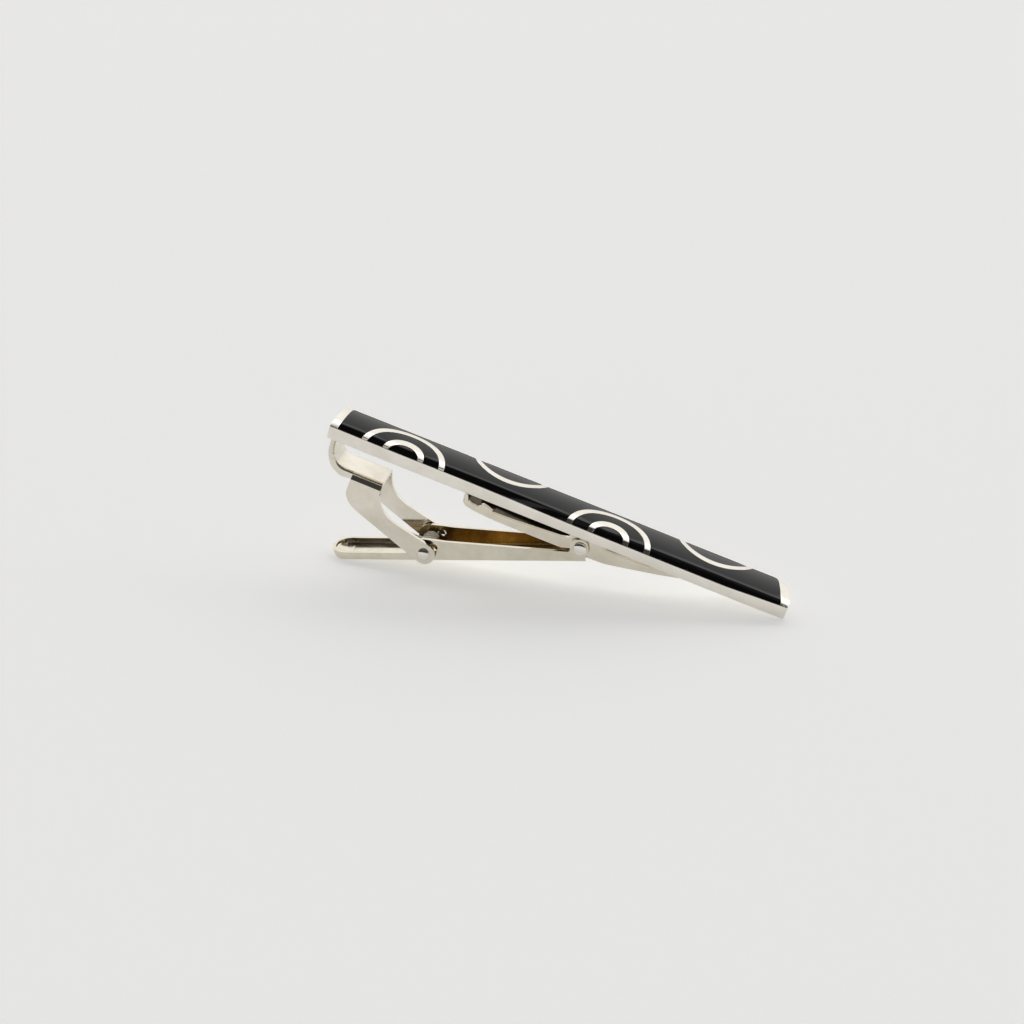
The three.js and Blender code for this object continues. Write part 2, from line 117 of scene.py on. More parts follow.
def prism(outline, axis, lo, hi, name="tmp"):
    """A closed outline spread along an axis. y: outline is (x, z); z: (x, y); x: (y, z)."""
    place = {
        "y": lambda p, t: (p[0], t, p[1]),
        "z": lambda p, t: (p[0], p[1], t),
        "x": lambda p, t: (t, p[0], p[1]),
    }[axis]
    bm = bmesh.new()
    low = [bm.verts.new(place(p, lo)) for p in outline]
    high = [bm.verts.new(place(p, hi)) for p in outline]
    bm.faces.new(low)
    bm.faces.new(high)
    n = len(outline)
    for i in range(n):
        j = (i + 1) % n
        bm.faces.new((low[i], low[j], high[j], high[i]))
    bmesh.ops.recalc_face_normals(bm, faces=bm.faces)
    return new_object(name, bm)


def combine(a, b, operation):
    """a with b added, cut away or kept in common; b is used up."""
    mod = a.modifiers.new("b", "BOOLEAN")
    mod.operation = operation
    mod.solver = "EXACT"
    mod.object = b
    bpy.context.view_layer.update()
    deps = bpy.context.evaluated_depsgraph_get()
    mesh = bpy.data.meshes.new_from_object(a.evaluated_get(deps))
    old = a.data
    a.modifiers.clear()
    a.data = mesh
    bpy.data.meshes.remove(old)
    gone = b.data
    bpy.data.objects.remove(b)
    bpy.data.meshes.remove(gone)
    return a


def clean(obj, dist=0.0015):
    """Joins points that fell together and drops the edges that lie in flat faces."""
    bm = bmesh.new()
    bm.from_mesh(obj.data)
    bmesh.ops.remove_doubles(bm, verts=bm.verts, dist=dist)
    bmesh.ops.dissolve_degenerate(bm, dist=dist, edges=bm.edges)
    bmesh.ops.dissolve_limit(
        bm, angle_limit=math.radians(0.4), verts=bm.verts, edges=bm.edges,
        use_dissolve_boundaries=False,
    )
    bmesh.ops.recalc_face_normals(bm, faces=bm.faces)
    bm.to_mesh(obj.data)
    bm.free()
    return obj


def slice_at(bm, place, normal):
    """Adds edges where a plane crosses the mesh."""
    geom = [*bm.verts, *bm.edges, *bm.faces]
    bmesh.ops.bisect_plane(bm, geom=geom, dist=1e-5, plane_co=place, plane_no=normal)


def clamp(t):
    return min(max(t, 0.0), 1.0)


def ease(t):
    """A smooth step from 0 to 1."""
    t = clamp(t)
    return t * t * (3 - 2 * t)


def circle_steps(n):
    """Cosine and sine of n even steps round a circle."""
    return [(math.cos(2 * math.pi * k / n), math.sin(2 * math.pi * k / n)) for k in range(n)]


def arc(cx, cy, r, a0, a1, n):
    return [
        (cx + r * math.cos(a0 + (a1 - a0) * i / n), cy + r * math.sin(a0 + (a1 - a0) * i / n))
        for i in range(n + 1)
    ]


def bore(obj, at, r, sides):
    """A round hole right through a piece, along Y."""
    combine(obj, prism(arc(*at, r, 0, 2 * math.pi, sides)[:-1], "y", -4, 4), "DIFFERENCE")


def round_rect(x0, y0, x1, y1, radii, n=10):
    """Radii: lower left, lower right, upper right, upper left."""
    a, b, c, d = [max(r, 1e-4) for r in radii]
    h = math.pi / 2
    return (
        arc(x0 + a, y0 + a, a, 2 * h, 3 * h, n)
        + arc(x1 - b, y0 + b, b, -h, 0, n)
        + arc(x1 - c, y1 - c, c, 0, h, n)
        + arc(x0 + d, y1 - d, d, h, 2 * h, n)
    )


def curve_through(points, n=8):
    """A smooth line through the points (uniform Catmull-Rom)."""
    out = []
    p = [points[0]] + list(points) + [points[-1]]
    for i in range(1, len(p) - 2):
        for k in range(n):
            t = k / n
            q = []
            for d in range(2):
                a, b, c, e = p[i - 1][d], p[i][d], p[i + 1][d], p[i + 2][d]
                q.append(
                    0.5
                    * (
                        2 * b
                        + (c - a) * t
                        + (2 * a - 5 * b + 4 * c - e) * t * t
                        + (3 * b - a - 3 * c + e) * t**3
                    )
                )
            out.append(tuple(q))
    out.append(tuple(points[-1]))
    return out


def quad(p0, p1, p2, n=8):
    """Points after p0 along a quadratic curve to p2."""
    out = []
    for i in range(1, n + 1):
        t = i / n
        out.append(
            tuple((1 - t) ** 2 * p0[d] + 2 * t * (1 - t) * p1[d] + t * t * p2[d] for d in range(2))
        )
    return out


def dedupe(points, eps=1e-4):
    """The outline without points that repeat their neighbour."""
    out = []
    for p in points:
        if not out or math.dist(p, out[-1]) > eps:
            out.append(p)
    if math.dist(out[0], out[-1]) < eps:
        out.pop()
    return out


def settle(obj, matrix, bevel, segments=3, angle=32):
    """Puts a piece into the row frame and rounds its edges by bevel."""
    obj.data.transform(matrix)
    for poly in obj.data.polygons:
        poly.use_smooth = True
    if bevel:
        mod = obj.modifiers.new("edges", "BEVEL")
        mod.width = bevel * MM
        mod.segments = segments
        mod.limit_method = "ANGLE"
        mod.angle_limit = math.radians(angle)
        mod.harden_normals = True
        mod.use_clamp_overlap = True
        mod.miter_outer = "MITER_ARC"
        w = obj.modifiers.new("normals", "WEIGHTED_NORMAL")
        w.keep_sharp = True
        w.weight = 60
    return obj


# ---------------------------------------------------------------- materials
def material(name):
    """A new material with its node tree, its shader and its coordinates."""
    mat = bpy.data.materials.new(name)
    mat.use_nodes = True
    nodes, links = mat.node_tree.nodes, mat.node_tree.links
    bsdf = nodes["Principled BSDF"]
    coords = nodes.new("ShaderNodeTexCoord")
    return mat, nodes, links, bsdf, coords


def mapped(nodes, links, coords, scale):
    """Coordinates turned to run along the bar, stretched by scale."""
    m = nodes.new("ShaderNodeMapping")
    m.inputs["Scale"].default_value = scale
    m.inputs["Rotation"].default_value = (0, -TILT, 0)
    links.new(coords.outputs["Object"], m.inputs["Vector"])
    return m.outputs["Vector"]


def noise(nodes, links, vector, scale, detail=3.0, rough=0.55):
    n = nodes.new("ShaderNodeTexNoise")
    n.inputs["Scale"].default_value = scale
    n.inputs["Detail"].default_value = detail
    n.inputs["Roughness"].default_value = rough
    links.new(vector, n.inputs["Vector"])
    return n.outputs["Fac"]


def ramp(nodes, links, fac, stops):
    r = nodes.new("ShaderNodeValToRGB")
    while len(r.color_ramp.elements) < len(stops):
        r.color_ramp.elements.new(0.5)
    for e, (pos, col) in zip(r.color_ramp.elements, stops):
        e.position = pos
        e.color = (*col, 1) if len(col) == 3 else col
    links.new(fac, r.inputs["Fac"])
    return r.outputs["Color"]


def spread(nodes, links, fac, lo, hi, a=0.3, b=0.7):
    """fac between a and b, spread over lo to hi."""
    m = nodes.new("ShaderNodeMapRange")
    m.inputs["From Min"].default_value = a
    m.inputs["From Max"].default_value = b
    m.inputs["To Min"].default_value = lo
    m.inputs["To Max"].default_value = hi
    links.new(fac, m.inputs["Value"])
    return m.outputs["Result"]


def bump(nodes, links, height, distance, strength, normal=None):
    b = nodes.new("ShaderNodeBump")
    b.inputs["Distance"].default_value = distance
    b.inputs["Strength"].default_value = strength
    links.new(height, b.inputs["Height"])
    if normal is not None:
        links.new(normal, b.inputs["Normal"])
    return b.outputs["Normal"]


def metal(name, light, dark, rough, grain):
    """Plated metal: cloudy tint, uneven polish, fine drawn lines and soft waves."""
    mat, nodes, links, bsdf, coords = material(name)
    bsdf.inputs["Metallic"].default_value = 1.0
    flat = mapped(nodes, links, coords, (1, 1, 1))
    cloud = noise(nodes, links, flat, 260, 4, 0.6)
    links.new(ramp(nodes, links, cloud, [(0.35, dark), (0.68, light)]), bsdf.inputs["Base Color"])
    wear = noise(nodes, links, flat, 700, 5, 0.65)
    links.new(spread(nodes, links, wear, *rough), bsdf.inputs["Roughness"])
    lines = noise(nodes, links, mapped(nodes, links, coords, grain), 1.0, 5, 0.6)
    n1 = bump(nodes, links, lines, 0.0006 * MM, 0.35)
    soft = noise(nodes, links, flat, 420, 2, 0.5)
    n2 = bump(nodes, links, soft, 0.010 * MM, 0.30, n1)
    links.new(n2, bsdf.inputs["Normal"])
    return mat


def enamel(name, base, tint, rough=(0.035, 0.09), speckle=None):
    """Fired enamel: deep and glassy, faintly streaked along the bar, with dust specks if asked."""
    mat, nodes, links, bsdf, coords = material(name)
    bsdf.inputs["Specular IOR Level"].default_value = 0.3
    flat = mapped(nodes, links, coords, (1, 1, 1))
    streak_at = mapped(nodes, links, coords, (26, 1500, 26))
    streak = noise(nodes, links, streak_at, 1.0, 4, 0.6)
    colour = ramp(nodes, links, streak, [(0.3, base), (0.72, tint)])
    if speckle:
        dots = nodes.new("ShaderNodeTexVoronoi")
        dots.inputs["Scale"].default_value = 5200
        links.new(flat, dots.inputs["Vector"])
        mask = ramp(nodes, links, dots.outputs["Distance"], [(0.05, (1, 1, 1)), (0.3, (0, 0, 0))])
        mix = nodes.new("ShaderNodeMix")
        mix.data_type = "RGBA"
        links.new(mask, mix.inputs["Factor"])
        links.new(colour, mix.inputs["A"])
        mix.inputs["B"].default_value = (*speckle, 1)
        colour = mix.outputs["Result"]
    links.new(colour, bsdf.inputs["Base Color"])
    worn = noise(nodes, links, flat, 900, 5, 0.6)
    links.new(spread(nodes, links, worn, *rough), bsdf.inputs["Roughness"])
    n1 = bump(nodes, links, streak, 0.004 * MM, 0.6)
    ripple = noise(nodes, links, flat, 330, 2, 0.5)
    n2 = bump(nodes, links, ripple, 0.02 * MM, 0.35, n1)
    links.new(n2, bsdf.inputs["Normal"])
    return mat


# Light and dark of the plate, its range of roughness, and how its drawn lines are stretched.
NICKEL = metal(
    "nickel", (0.87, 0.835, 0.765), (0.78, 0.74, 0.665), (0.05, 0.12), (60, 2600, 2600)
)
JAW_METAL = metal(
    "jaw_nickel", (0.84, 0.795, 0.70), (0.72, 0.675, 0.575), (0.05, 0.13), (1400, 300, 1400)
)
BRACKET_METAL = metal(
    "bracket_nickel", (0.81, 0.76, 0.65), (0.695, 0.64, 0.53), (0.07, 0.16), (70, 2400, 2400)
)
ARM_METAL = metal(
    "arm_nickel", (0.81, 0.76, 0.65), (0.695, 0.645, 0.535), (0.06, 0.15), (60, 2600, 2600)
)
# Painted shade: a dark brown copy of the bracket's plate for its inside, which lies in shade under the
# bar.
BRACKET_SHADE = metal(
    "bracket_inside_painted_shade",
    (0.13, 0.105, 0.075), (0.055, 0.045, 0.03), (0.12, 0.28), (70, 2400, 2400),
)
PAD_INSIDE = metal(
    "pad_inside_thin_plate", (0.82, 0.78, 0.68), (0.70, 0.64, 0.52), (0.10, 0.22), (80, 2200, 2200)
)
# Painted bounce light and shade: a darker brass-gold copy of the arm's plate for the channel floor,
# for warm light bounced between its walls.
CHANNEL_BOUNCE_LIGHT = metal(
    "channel_inside_painted_bounce_light", (0.86, 0.70, 0.38), (0.62, 0.46, 0.20), (0.10, 0.22), (80, 2200, 2200)
)
# Painted shade: dark brown copies of the arm's plate for the inner walls of the pad and of the
# channel.
PAD_WALL_SHADE = metal(
    "pad_wall_painted_shade", (0.42, 0.35, 0.25), (0.20, 0.16, 0.11), (0.14, 0.30), (80, 2200, 2200)
)
CHANNEL_WALL_SHADE = metal(
    "channel_wall_painted_shade", (0.55, 0.41, 0.20), (0.26, 0.18, 0.08), (0.14, 0.30), (80, 2200, 2200)
)
RIVET_METAL = metal(
    "rivet_nickel", (0.88, 0.85, 0.80), (0.81, 0.78, 0.72), (0.04, 0.10), (900, 900, 900)
)
WIRE_METAL = metal(
    "spring_wire", (0.80, 0.77, 0.70), (0.66, 0.60, 0.50), (0.10, 0.22), (3000, 3000, 3000)
)
SOLDER_METAL = metal(
    "solder", (0.66, 0.65, 0.62), (0.50, 0.49, 0.46), (0.28, 0.5), (1800, 1800, 1800)
)
BLACK = enamel("enamel_black", (0.0015, 0.0015, 0.0017), (0.0045, 0.0045, 0.005))
SMOKE = enamel(
    "enamel_smoke", (0.012, 0.009, 0.012), (0.03, 0.022, 0.028), (0.10, 0.22), (0.10, 0.085, 0.09)
)


# ---------------------------------------------------------------- bar and enamel
CROWN_R = (HALF * HALF + CROWN_RISE * CROWN_RISE) / (2 * CROWN_RISE)


def crown(y):
    """Height of the bar's domed top above its back."""
    return BAR_SIDE + CROWN_RISE - CROWN_R + math.sqrt(max(CROWN_R * CROWN_R - y * y, 0))


# The near shoulder falls away more towards the bar's right-hand end: (x, start in y, drop).
SHOULDER = ((16.0, -1.66, 0.13), (36.0, -2.02, 0.42))
SHOULDER_EASE = 0.12  # how softly the slope begins, as a share of its width
LINE_FOOT = 0.42  # the stretch at the near edge in which a raised line comes down
CAP_RAMPS = ((0.9, 0.5), (59.1, 0.2))  # where the dip begins and ends beside the caps, and how fast


def shoulder(x):
    """Where the shoulder starts in y and how far it drops, at x."""
    (x0, y0, d0), (x1, y1, d1) = SHOULDER
    t = ease((x - x0) / (x1 - x0))
    return y0 + (y1 - y0) * t, d0 + (d1 - d0) * t


def glaze_drop(x, y):
    """How far the enamel falls below the crown: an even slope from the shoulder line on."""
    start, drop = shoulder(x)
    s = (start - y) / (start + HALF)
    if s > SHOULDER_EASE:
        return drop * s
    return drop * max(s + SHOULDER_EASE, 0) ** 2 / (4 * SHOULDER_EASE)


def metal_drop(x, y):
    """The raised lines keep the crown and dip only at their feet; the end caps don't dip."""
    (start, rise), (end, fall) = CAP_RAMPS
    between_caps = clamp((x - start) / rise) * clamp((end - x) / fall)
    drop = (shoulder(x)[1] - 0.05) * between_caps
    return drop * ease((-HALF + LINE_FOOT - y) / LINE_FOOT)


def arch(x, side, size):
    """Centre and radius of an arc given by its half-width and height from the edge on one side."""
    w, h = size
    r = (w * w + h * h) / (2 * h)
    return x, side * (HALF - h + r), r


def arch_points(circle, y, e, n, back=False):
    """Points of an arc grown by e, between its two crossings of the line at y."""
    cx, cy, r = circle
    r += e
    a = math.asin((y - cy) / r)
    ends = (a, math.pi - a) if cy < 0 else (math.pi - a, 2 * math.pi + a)
    if back:
        ends = ends[::-1]
    return arc(cx, cy, r, *ends, n)


NEAR_SHARE = 0.35  # how much of an edge's rounding the thin near rim takes


def near_y(e):
    """The enamel's near edge, grown by e; it grows less there, where the rim is thin."""
    return -HALF + NEAR_RIM - NEAR_SHARE * e


def far_y(e):
    """The enamel's far edge, grown by e."""
    return HALF - RIM + e


def ring_cell(i, e):
    """Between the outer and inner line of fan i, grown by e."""
    x = FAN_START + i * FAN_STEP
    outer, inner = arch(x, -1, OUTER_LINE[1]), arch(x, -1, INNER_LINE[0])
    return arch_points(outer, near_y(e), e, 72) + arch_points(inner, near_y(e), -e, 48, True)


def heart_cell(i, e):
    """Inside the inner line of fan i."""
    return arch_points(arch(FAN_START + i * FAN_STEP, -1, INNER_LINE[1]), near_y(e), e, 48)


def far_cell(i, e):
    """Behind the line that rises from the far edge."""
    return arch_points(arch(FAR_START + i * FAN_STEP, 1, FAR_LINE[1]), far_y(e), e, 56)


def field_cell(_, e):
    """The ground between the end caps, running round all four lines."""
    y0, y1 = near_y(e), far_y(e)
    x0, x1, x2 = END_CAP - e, ENAMEL_END + e, ENAMEL_END - ENAMEL_SLANT + e
    out = arc(x0 - LEFT_LEAN + 0.16, y0 + 0.16, 0.16, math.pi, 1.5 * math.pi, 8)
    for i in range(2):
        line = arch(FAN_START + i * FAN_STEP, -1, OUTER_LINE[0])
        out += arch_points(line, y0, -e, 72, True)
    out += [(x1 - 0.42, y0)] + quad((x1 - 0.42, y0), (x1, y0), (x1, y0 + 0.42), 8)
    out += [(x2, y1 - 0.7)] + quad((x2, y1 - 0.7), (x2 - 0.15, y1), (x2 - 0.9, y1), 10)
    for i in (1, 0):
        line = arch(FAR_START + i * FAN_STEP, 1, FAR_LINE[0])
        out += arch_points(line, y1, -e, 56, True)
    out += arc(x0 + 0.3, y1 - 0.3, 0.3, math.pi / 2, math.pi, 8)
    return out


def bar_plan():
    """The left end leans a little, the right end sweeps back to the far edge."""
    end = BAR_LENGTH
    p = [(0.3 - LEFT_LEAN, -HALF), (end - 0.35, -HALF)]
    p += quad(p[-1], (end, -HALF), (end, -HALF + 0.4), 8)
    p += quad(p[-1], (end, 1.0), (end - RIGHT_SWEEP, HALF), 24)
    p += [(0.45, HALF)] + quad((0.45, HALF), (0, HALF), (0, HALF - 0.45), 8)
    p += [(-LEFT_LEAN, -HALF + 0.3)]
    p += quad(p[-1], (-LEFT_LEAN, -HALF), (0.3 - LEFT_LEAN, -HALF), 8)
    return dedupe(p)


def bar_outline(d):
    """The plan drawn in by d, and by less along the near edge."""
    plan_points = bar_plan()
    n = len(plan_points)
    out = []
    for i, (x, y) in enumerate(plan_points):
        ax, ay = plan_points[i - 1]
        bx, by = plan_points[(i + 1) % n]
        la, lb = math.dist((ax, ay), (x, y)), math.dist((bx, by), (x, y))
        dx, dy = (x - ax) / la + (bx - x) / lb, (y - ay) / la + (by - y) / lb
        size = math.hypot(dx, dy)
        nx, ny = -dy / size, dx / size
        out.append((x + nx * d, y + ny * d * (NEAR_SHARE if ny > 0.5 else 1.0)))
    return out


LIFT = 10.0  # top-side points are built this high, then lowered onto the crown
CROSS_CUTS = (8, 12, 16, 18, 20, 22, 24, 26, 28, 30, 32, 34, 36, 40, 46, 52)


def add_ring(bm, outline, z):
    return [bm.verts.new((x, y, z)) for x, y in outline]


def bridge(bm, a, b):
    """Faces between two closed rings of as many points."""
    n = len(a)
    for i in range(n):
        j = (i + 1) % n
        bm.faces.new((a[i], a[j], b[j], b[i]))


def fill(bm, outer, holes=()):
    """A flat face over a ring, less its holes."""
    loops = [outer, *holes]
    flat = [v for loop in loops for v in loop]
    tris = tessellate_polygon([[Vector((v.co.x, v.co.y, 0)) for v in loop] for loop in loops])
    for t in tris:
        if len(set(t)) == 3:
            try:
                bm.faces.new([flat[k] for k in t])
            except ValueError:
                pass


def crown_map(bm, drop, step=0.12):
    """Cuts the mesh into strips and lowers its top side onto the crown; returns the skin's normals."""
    y = -HALF + step
    while y < HALF - 1e-6:
        slice_at(bm, (0, y, 0), (0, 1, 0))
        y += step
    for x in CROSS_CUTS:
        slice_at(bm, (x, 0, 0), (1, 0, 0))
    flat = max(v.co.z for v in bm.verts) - 1e-4
    skin = {}
    dx, dy = 0.02, 0.01
    bm.verts.index_update()
    for v in bm.verts:
        x, y, z = v.co
        if z > flat:
            slope_x = (drop(x - dx, y) - drop(x + dx, y)) / (2 * dx)
            rise = (crown(y + dy) - drop(x, y + dy)) - (crown(y - dy) - drop(x, y - dy))
            skin[v.index] = Vector((-slope_x, -rise / (2 * dy), 1)).normalized()
        if z > LIFT / 2:
            v.co.z += crown(y) - drop(x, y) - LIFT
    return skin


def burnish(obj, skin):
    """Gives the crowned skin the true normals of its curve, so that it mirrors evenly."""
    turned = BAR_TO_ROW.to_3x3().normalized()
    normals = [v.normal.copy() for v in obj.data.vertices]
    for i, n in skin.items():
        normals[i] = (turned @ n).normalized()
    obj.data.normals_split_custom_set_from_vertices(normals)
    return obj


CELLS = {"enamel_field": (field_cell, 0)}
for _i in range(2):
    CELLS[f"enamel_fan_ring_{_i + 1}"] = (ring_cell, _i)
    CELLS[f"enamel_fan_heart_{_i + 1}"] = (heart_cell, _i)
    CELLS[f"enamel_far_cell_{_i + 1}"] = (far_cell, _i)


def cell_outline(name, e):
    make, i = CELLS[name]
    return dedupe(make(i, e), 1e-5)


def make_bar():
    """The metal bar: soft edges, domed top and a pocket for each enamel cell."""
    bm = bmesh.new()
    top = add_ring(bm, bar_outline(0.09), LIFT)
    rows = [top]
    for d, z in ((0.055, LIFT - 0.012), (0.02, LIFT - 0.03), (0.0, LIFT - 0.06)):
        rows.append(add_ring(bm, bar_outline(d), z))
    for d, z in ((0.0, 0.13), (0.02, 0.06), (0.06, 0.02), (0.13, 0.0)):
        rows.append(add_ring(bm, bar_outline(d), z))
    for a, b in zip(rows, rows[1:]):
        bridge(bm, a, b)
    fill(bm, rows[-1])
    holes = []
    for name in CELLS:
        rims = [
            add_ring(bm, cell_outline(name, e), LIFT - z)
            for e, z in ((0.05, 0), (0.02, 0.01), (0.004, 0.03), (0.0, 0.07), (0.0, 0.32))
        ]
        for a, b in zip(rims, rims[1:]):
            bridge(bm, a, b)
        fill(bm, rims[-1])
        holes.append(rims[0])
    fill(bm, top, holes)
    skin = crown_map(bm, metal_drop)
    # The low corner is eased flat where it stands on the table.
    for v in bm.verts:
        sink = (BAR_TO_ROW @ v.co).z / MM
        if sink < 0:
            v.co.z -= sink / math.cos(TILT)
    bmesh.ops.recalc_face_normals(bm, faces=bm.faces)
    return burnish(settle(new_object("bar_metal", bm), BAR_TO_ROW, bevel=0), skin)


def make_enamel(name):
    """One cell's enamel, a little below the lines, with its edge drawn down."""
    bm = bmesh.new()
    rows = [
        add_ring(bm, cell_outline(name, e), LIFT - z)
        for e, z in ((-0.1, 0.04), (-0.03, 0.034), (-0.004, 0.026), (-0.002, 0.31))
    ]
    for a, b in zip(rows, rows[1:]):
        bridge(bm, a, b)
    fill(bm, rows[0])
    fill(bm, rows[-1])
    skin = crown_map(bm, glaze_drop)
    bmesh.ops.recalc_face_normals(bm, faces=bm.faces)
    return burnish(settle(new_object(name + "_glaze", bm), BAR_TO_ROW, bevel=0), skin)


def dress(obj, mats, node, body):
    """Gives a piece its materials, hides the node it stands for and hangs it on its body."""
    for m in mats:
        obj.data.materials.append(m)
    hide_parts(node)
    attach(obj, body)
    return obj


dress(make_bar(), [NICKEL], "bar", "bar")
for _name in CELLS:
    smoky = _name.startswith("enamel_far")
    dress(
        make_enamel(_name), [SMOKE if smoky else BLACK], _name, "bar",
    )


# ---------------------------------------------------------------- arm
def arm_side():
    """The arm from the side, in its own frame with the main pin at 0."""
    p = [(0.42, ARM_BACK), (0.45, -1.2)]
    p += quad(p[-1], (1.0, -0.9), (1.0, -0.1))
    p += quad(p[-1], (1.0, 1.2), (0.0, 1.2), 12)
    p += quad(p[-1], (-1.3, 1.2), (-1.3, 0.3), 12)
    p += [(-1.3, -0.2)]
    p += quad(p[-1], (-1.33, -0.47), (-1.7, -0.46))
    p += [(-17.3, 0.78)]
    p += quad(p[-1], (-18.6, 1.0), (-20.14, 1.15))
    p += quad(p[-1], (-21.6, 1.2), (-21.9, 0.2), 12)
    p += quad(p[-1], (-22.05, -0.8), (-23.0, -0.8), 12)
    p += [(-29.5, -0.8)]
    p += quad(p[-1], (-31.5, -0.78), (ARM_NOSE, -0.62))
    p += quad(p[-1], (-32.8, -1.85), (-30.2, ARM_BACK), 16)
    return dedupe(p)


def plan(half, nose, right, n=32):
    """The arm from above: parallel sides and a half-round nose."""
    return [(right, -half), (right, half)] + arc(
        nose + half, 0, half, math.pi / 2, 1.5 * math.pi, n
    )


def make_arm():
    """The folded arm, hollowed to sheet, with its web cut short at the pin."""
    corner, inner_corner = 0.36, 0.14
    arm = prism(arm_side(), "y", -ARM_HALF, ARM_HALF, "arm_channel")
    combine(arm, prism(plan(ARM_HALF, ARM_NOSE, 3), "z", -5, 5), "INTERSECT")
    section = round_rect(-ARM_HALF, ARM_BACK, ARM_HALF, 4, (corner, corner, SHARP, SHARP), 12)
    combine(arm, prism(section, "x", -40, 3), "INTERSECT")
    inside = ARM_HALF - SHEET
    bowl = [(3, 5), (3, ARM_FLOOR), (-29.8, ARM_FLOOR)]
    bowl += quad(bowl[-1], (-31.9, ARM_FLOOR), (-32.45, -0.95), 12) + [(-32.6, 5)]
    hollow = prism(bowl, "y", -inside - 0.5, inside + 0.5)
    combine(hollow, prism(plan(inside, -32.5, 2.9), "z", -3, 6), "INTERSECT")
    section = round_rect(-inside, ARM_FLOOR, inside, 7, (inner_corner, inner_corner, SHARP, SHARP), 6)
    combine(hollow, prism(section, "x", -40, 2.8), "INTERSECT")
    combine(arm, hollow, "DIFFERENCE")
    web_end = [(-1.75, -5), (3, -5), (3, 1.9), (-1.75, 1.9)]
    combine(arm, prism(web_end, "y", -inside, inside), "DIFFERENCE")
    window = [(-19.55, 0.1)]
    window += quad(window[-1], (-18.9, 0.75), (-18.5, 0.3), 8)
    window += quad(window[-1], (-18.2, -0.2), (-18.75, -0.45), 8)
    combine(arm, prism(window, "y", -3, 3), "DIFFERENCE")
    bore(arm, (0, 0), MAIN_BORE_R, 48)
    bore(arm, JAW_PIN_ARM, JAW_BORE_R, 40)
    clean(arm)
    bm = bmesh.new()
    bm.from_mesh(arm.data)
    slice_at(bm, (PAD_START, 0, 0), (1, 0, 0))
    bm.to_mesh(arm.data)
    bm.free()
    paint_arm_inside(arm, inside)
    settle(arm, BAR_TO_ROW @ ARM_TO_BAR, bevel=0.07)
    return arm


def paint_arm_inside(arm, inside):
    """Inside the channel the pad floor keeps a plain plate; the channel floor is painted brass-gold
    for warm bounced light and shade, and the inner walls are painted dark brown for shade.
    """
    for mat in (ARM_METAL, PAD_INSIDE, CHANNEL_BOUNCE_LIGHT, PAD_WALL_SHADE, CHANNEL_WALL_SHADE):
        arm.data.materials.append(mat)
    for poly in arm.data.polygons:
        c = poly.center
        inner = abs(c.y) < inside + 0.01 and ARM_FLOOR - 0.02 < c.z < 0.9 and c.x < -1.3
        wall = poly.normal.y * c.y < -0.2 and abs(c.y) > inside - 0.05
        floor = poly.normal.z > 0.5 or poly.normal.x > 0.3 or poly.normal.y * c.y < -0.001
        if inner and floor:
            # 1 pad floor, 2 channel floor in painted bounce light, 3 and 4 inner walls in painted
            # shade.
            poly.material_index = (3 if wall else 1) + (1 if c.x > PAD_START else 0)


dress(make_arm(), [], "arm", "arm")


# ---------------------------------------------------------------- bracket and its solder
# Side view, in the bar frame: the underside from tip to foot, then the top edge back to the tip.
UNDER = [
    (18.02, -1.5), (18.12, -2.1), (18.6, -2.42), (19.8, -2.71), (21.8, -2.87), (24.5, -2.95),
    (30, -2.96), (36.2, -2.9), (38.4, -2.6), (41.9, -1.85), (44.4, -1.28), (46.2, -0.8),
]
TOP = [
    (51, -0.1), (46.2, -0.1), (43.5, -0.62), (41, -0.95), (37, -1.08), (36.3, -0.95), (35.7, -0.4),
    (35.2, -0.06), (32.9, -0.06), (32.4, -0.5), (31.9, -1.2), (30.9, -1.5), (25, -1.92),
    (22.1, -2.0), (22.0, -1.78), (21.3, -1.48), (20.7, -1.34), (20.25, -1.6), (20.05, -2.02),
    (19.2, -1.92), (18.75, -1.7), (18.5, -0.85), (18.0, -0.75),
]


def make_bracket():
    """The folded bracket with its gripping tooth, hollow from above, flat at its foot."""
    half = BRACKET_HALF
    under = curve_through(UNDER, 6) + [(47.2, -0.5), (51, -0.5)]
    bracket = prism(dedupe(under + TOP), "y", -half, half, "bracket_channel")
    tip = round_rect(18.0, -half, 50.99, half, (0.6, 0.2, 0.2, 0.6), 12)
    combine(bracket, prism(tip, "z", -5, 2), "INTERSECT")
    combine(bracket, prism(round_rect(-half, -3.3, half, 1, (SHARP,) * 4), "x", 10, 60), "INTERSECT")
    inside = half - SHEET
    bed = [(18.4, -1.4)] + [(x + 0.1, z + SHEET) for x, z in UNDER[2:]] + [(46.4, 1), (18.2, 1)]
    hollow = prism(dedupe(bed), "y", -inside, inside)
    tip = round_rect(18.4, -inside, 50, inside, (0.3, 0.1, 0.1, 0.3), 8)
    combine(hollow, prism(tip, "z", -5, 2), "INTERSECT")
    combine(bracket, hollow, "DIFFERENCE")
    bore(bracket, PIN, MAIN_BORE_R, 48)
    clean(bracket)
    # The inside of the bracket lies in shade under the bar's back and is painted dark brown as shade.
    bracket.data.materials.append(BRACKET_METAL)
    bracket.data.materials.append(BRACKET_SHADE)
    for poly in bracket.data.polygons:
        c = poly.center
        wall = abs(abs(c.y) - inside) < 0.02 and poly.normal.y * c.y < -0.01
        floor = abs(c.y) < inside and poly.normal.z > 0.5
        end = abs(c.y) < inside and poly.normal.x > 0.5 and c.x < 20
        poly.material_index = 1 if (wall or floor or end) and c.x < 46 else 0
    settle(bracket, BAR_TO_ROW, bevel=0.09, segments=4, angle=40)
    return bracket


dress(make_bracket(), [], "bracket", "bar")


